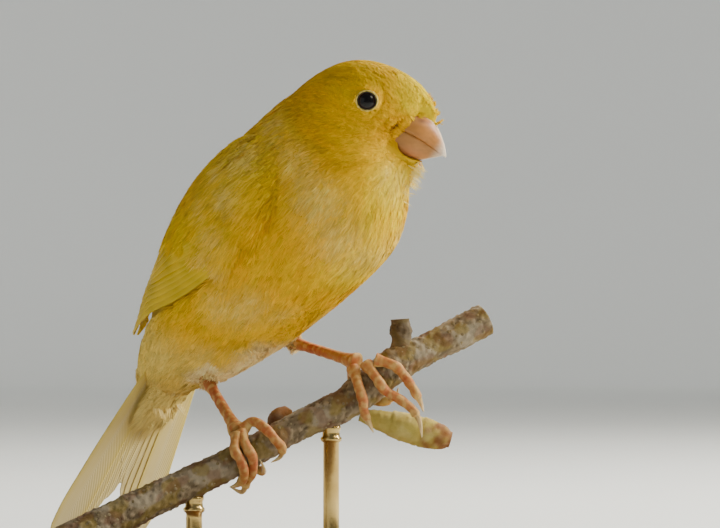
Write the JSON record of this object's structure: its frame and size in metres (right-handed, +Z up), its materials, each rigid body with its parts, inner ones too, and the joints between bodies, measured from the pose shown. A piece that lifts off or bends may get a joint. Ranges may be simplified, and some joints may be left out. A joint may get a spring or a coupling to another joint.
{
  "type": "canary on a perch",
  "caption": "Life-size still model of a yellow canary gripping a short cut length of branch, held over a round flat base by thin rods.",
  "frame": {"origin": "centre of the underside of the round stand base, on the surface it rests on", "axes": "+Z up, +X towards the side the bill points to, +Y away from the viewer who sees the bird's right side"},
  "size_m": [0.104, 0.104, 0.11],
  "materials": {
    "plumage_body": "soft golden yellow body feathers with pale frosted tips",
    "plumage_wing": "greenish yellow wing feathers with pale edges",
    "plumage_tail": "buff cream tail feathers with yellow outer edges",
    "plumage_thigh": "cream white downy thigh feathers",
    "bill_horn": "flesh pink horn with a pale ridge, half gloss",
    "eye": "near black, wet gloss",
    "leg_skin": "orange pink scaled skin",
    "claw_horn": "pale yellow horn",
    "bark": "grey brown bark with olive lichen and pale specks",
    "stand_wood": "dark satin wood",
    "stand_brass": "satin brass rod"
  },
  "bodies": {
    "root": {"bill_lower": "bill_horn", "bill_upper": "bill_horn", "claw_left_1": "claw_horn", "claw_left_2": "claw_horn", "claw_left_3": "claw_horn", "claw_left_4": "claw_horn", "claw_right_1": "claw_horn", "claw_right_2": "claw_horn", "claw_right_3": "claw_horn", "claw_right_4": "claw_horn", "eye_left": "eye", "eye_right": "eye", "head": "plumage_body", "neck": "plumage_body", "perch": "bark", "shank_left": "leg_skin", "shank_right": "leg_skin", "stand_base": "stand_wood", "stand_rod_1": "stand_brass", "stand_rod_2": "stand_brass", "tail": "plumage_tail", "thigh_left": "plumage_thigh", "thigh_right": "plumage_thigh", "toe_left_1": "leg_skin", "toe_left_2": "leg_skin", "toe_left_3": "leg_skin", "toe_left_4": "leg_skin", "toe_right_1": "leg_skin", "toe_right_2": "leg_skin", "toe_right_3": "leg_skin", "toe_right_4": "leg_skin", "torso": "plumage_body", "wing_left": "plumage_wing", "wing_right": "plumage_wing"}
  },
  "joints": []
}
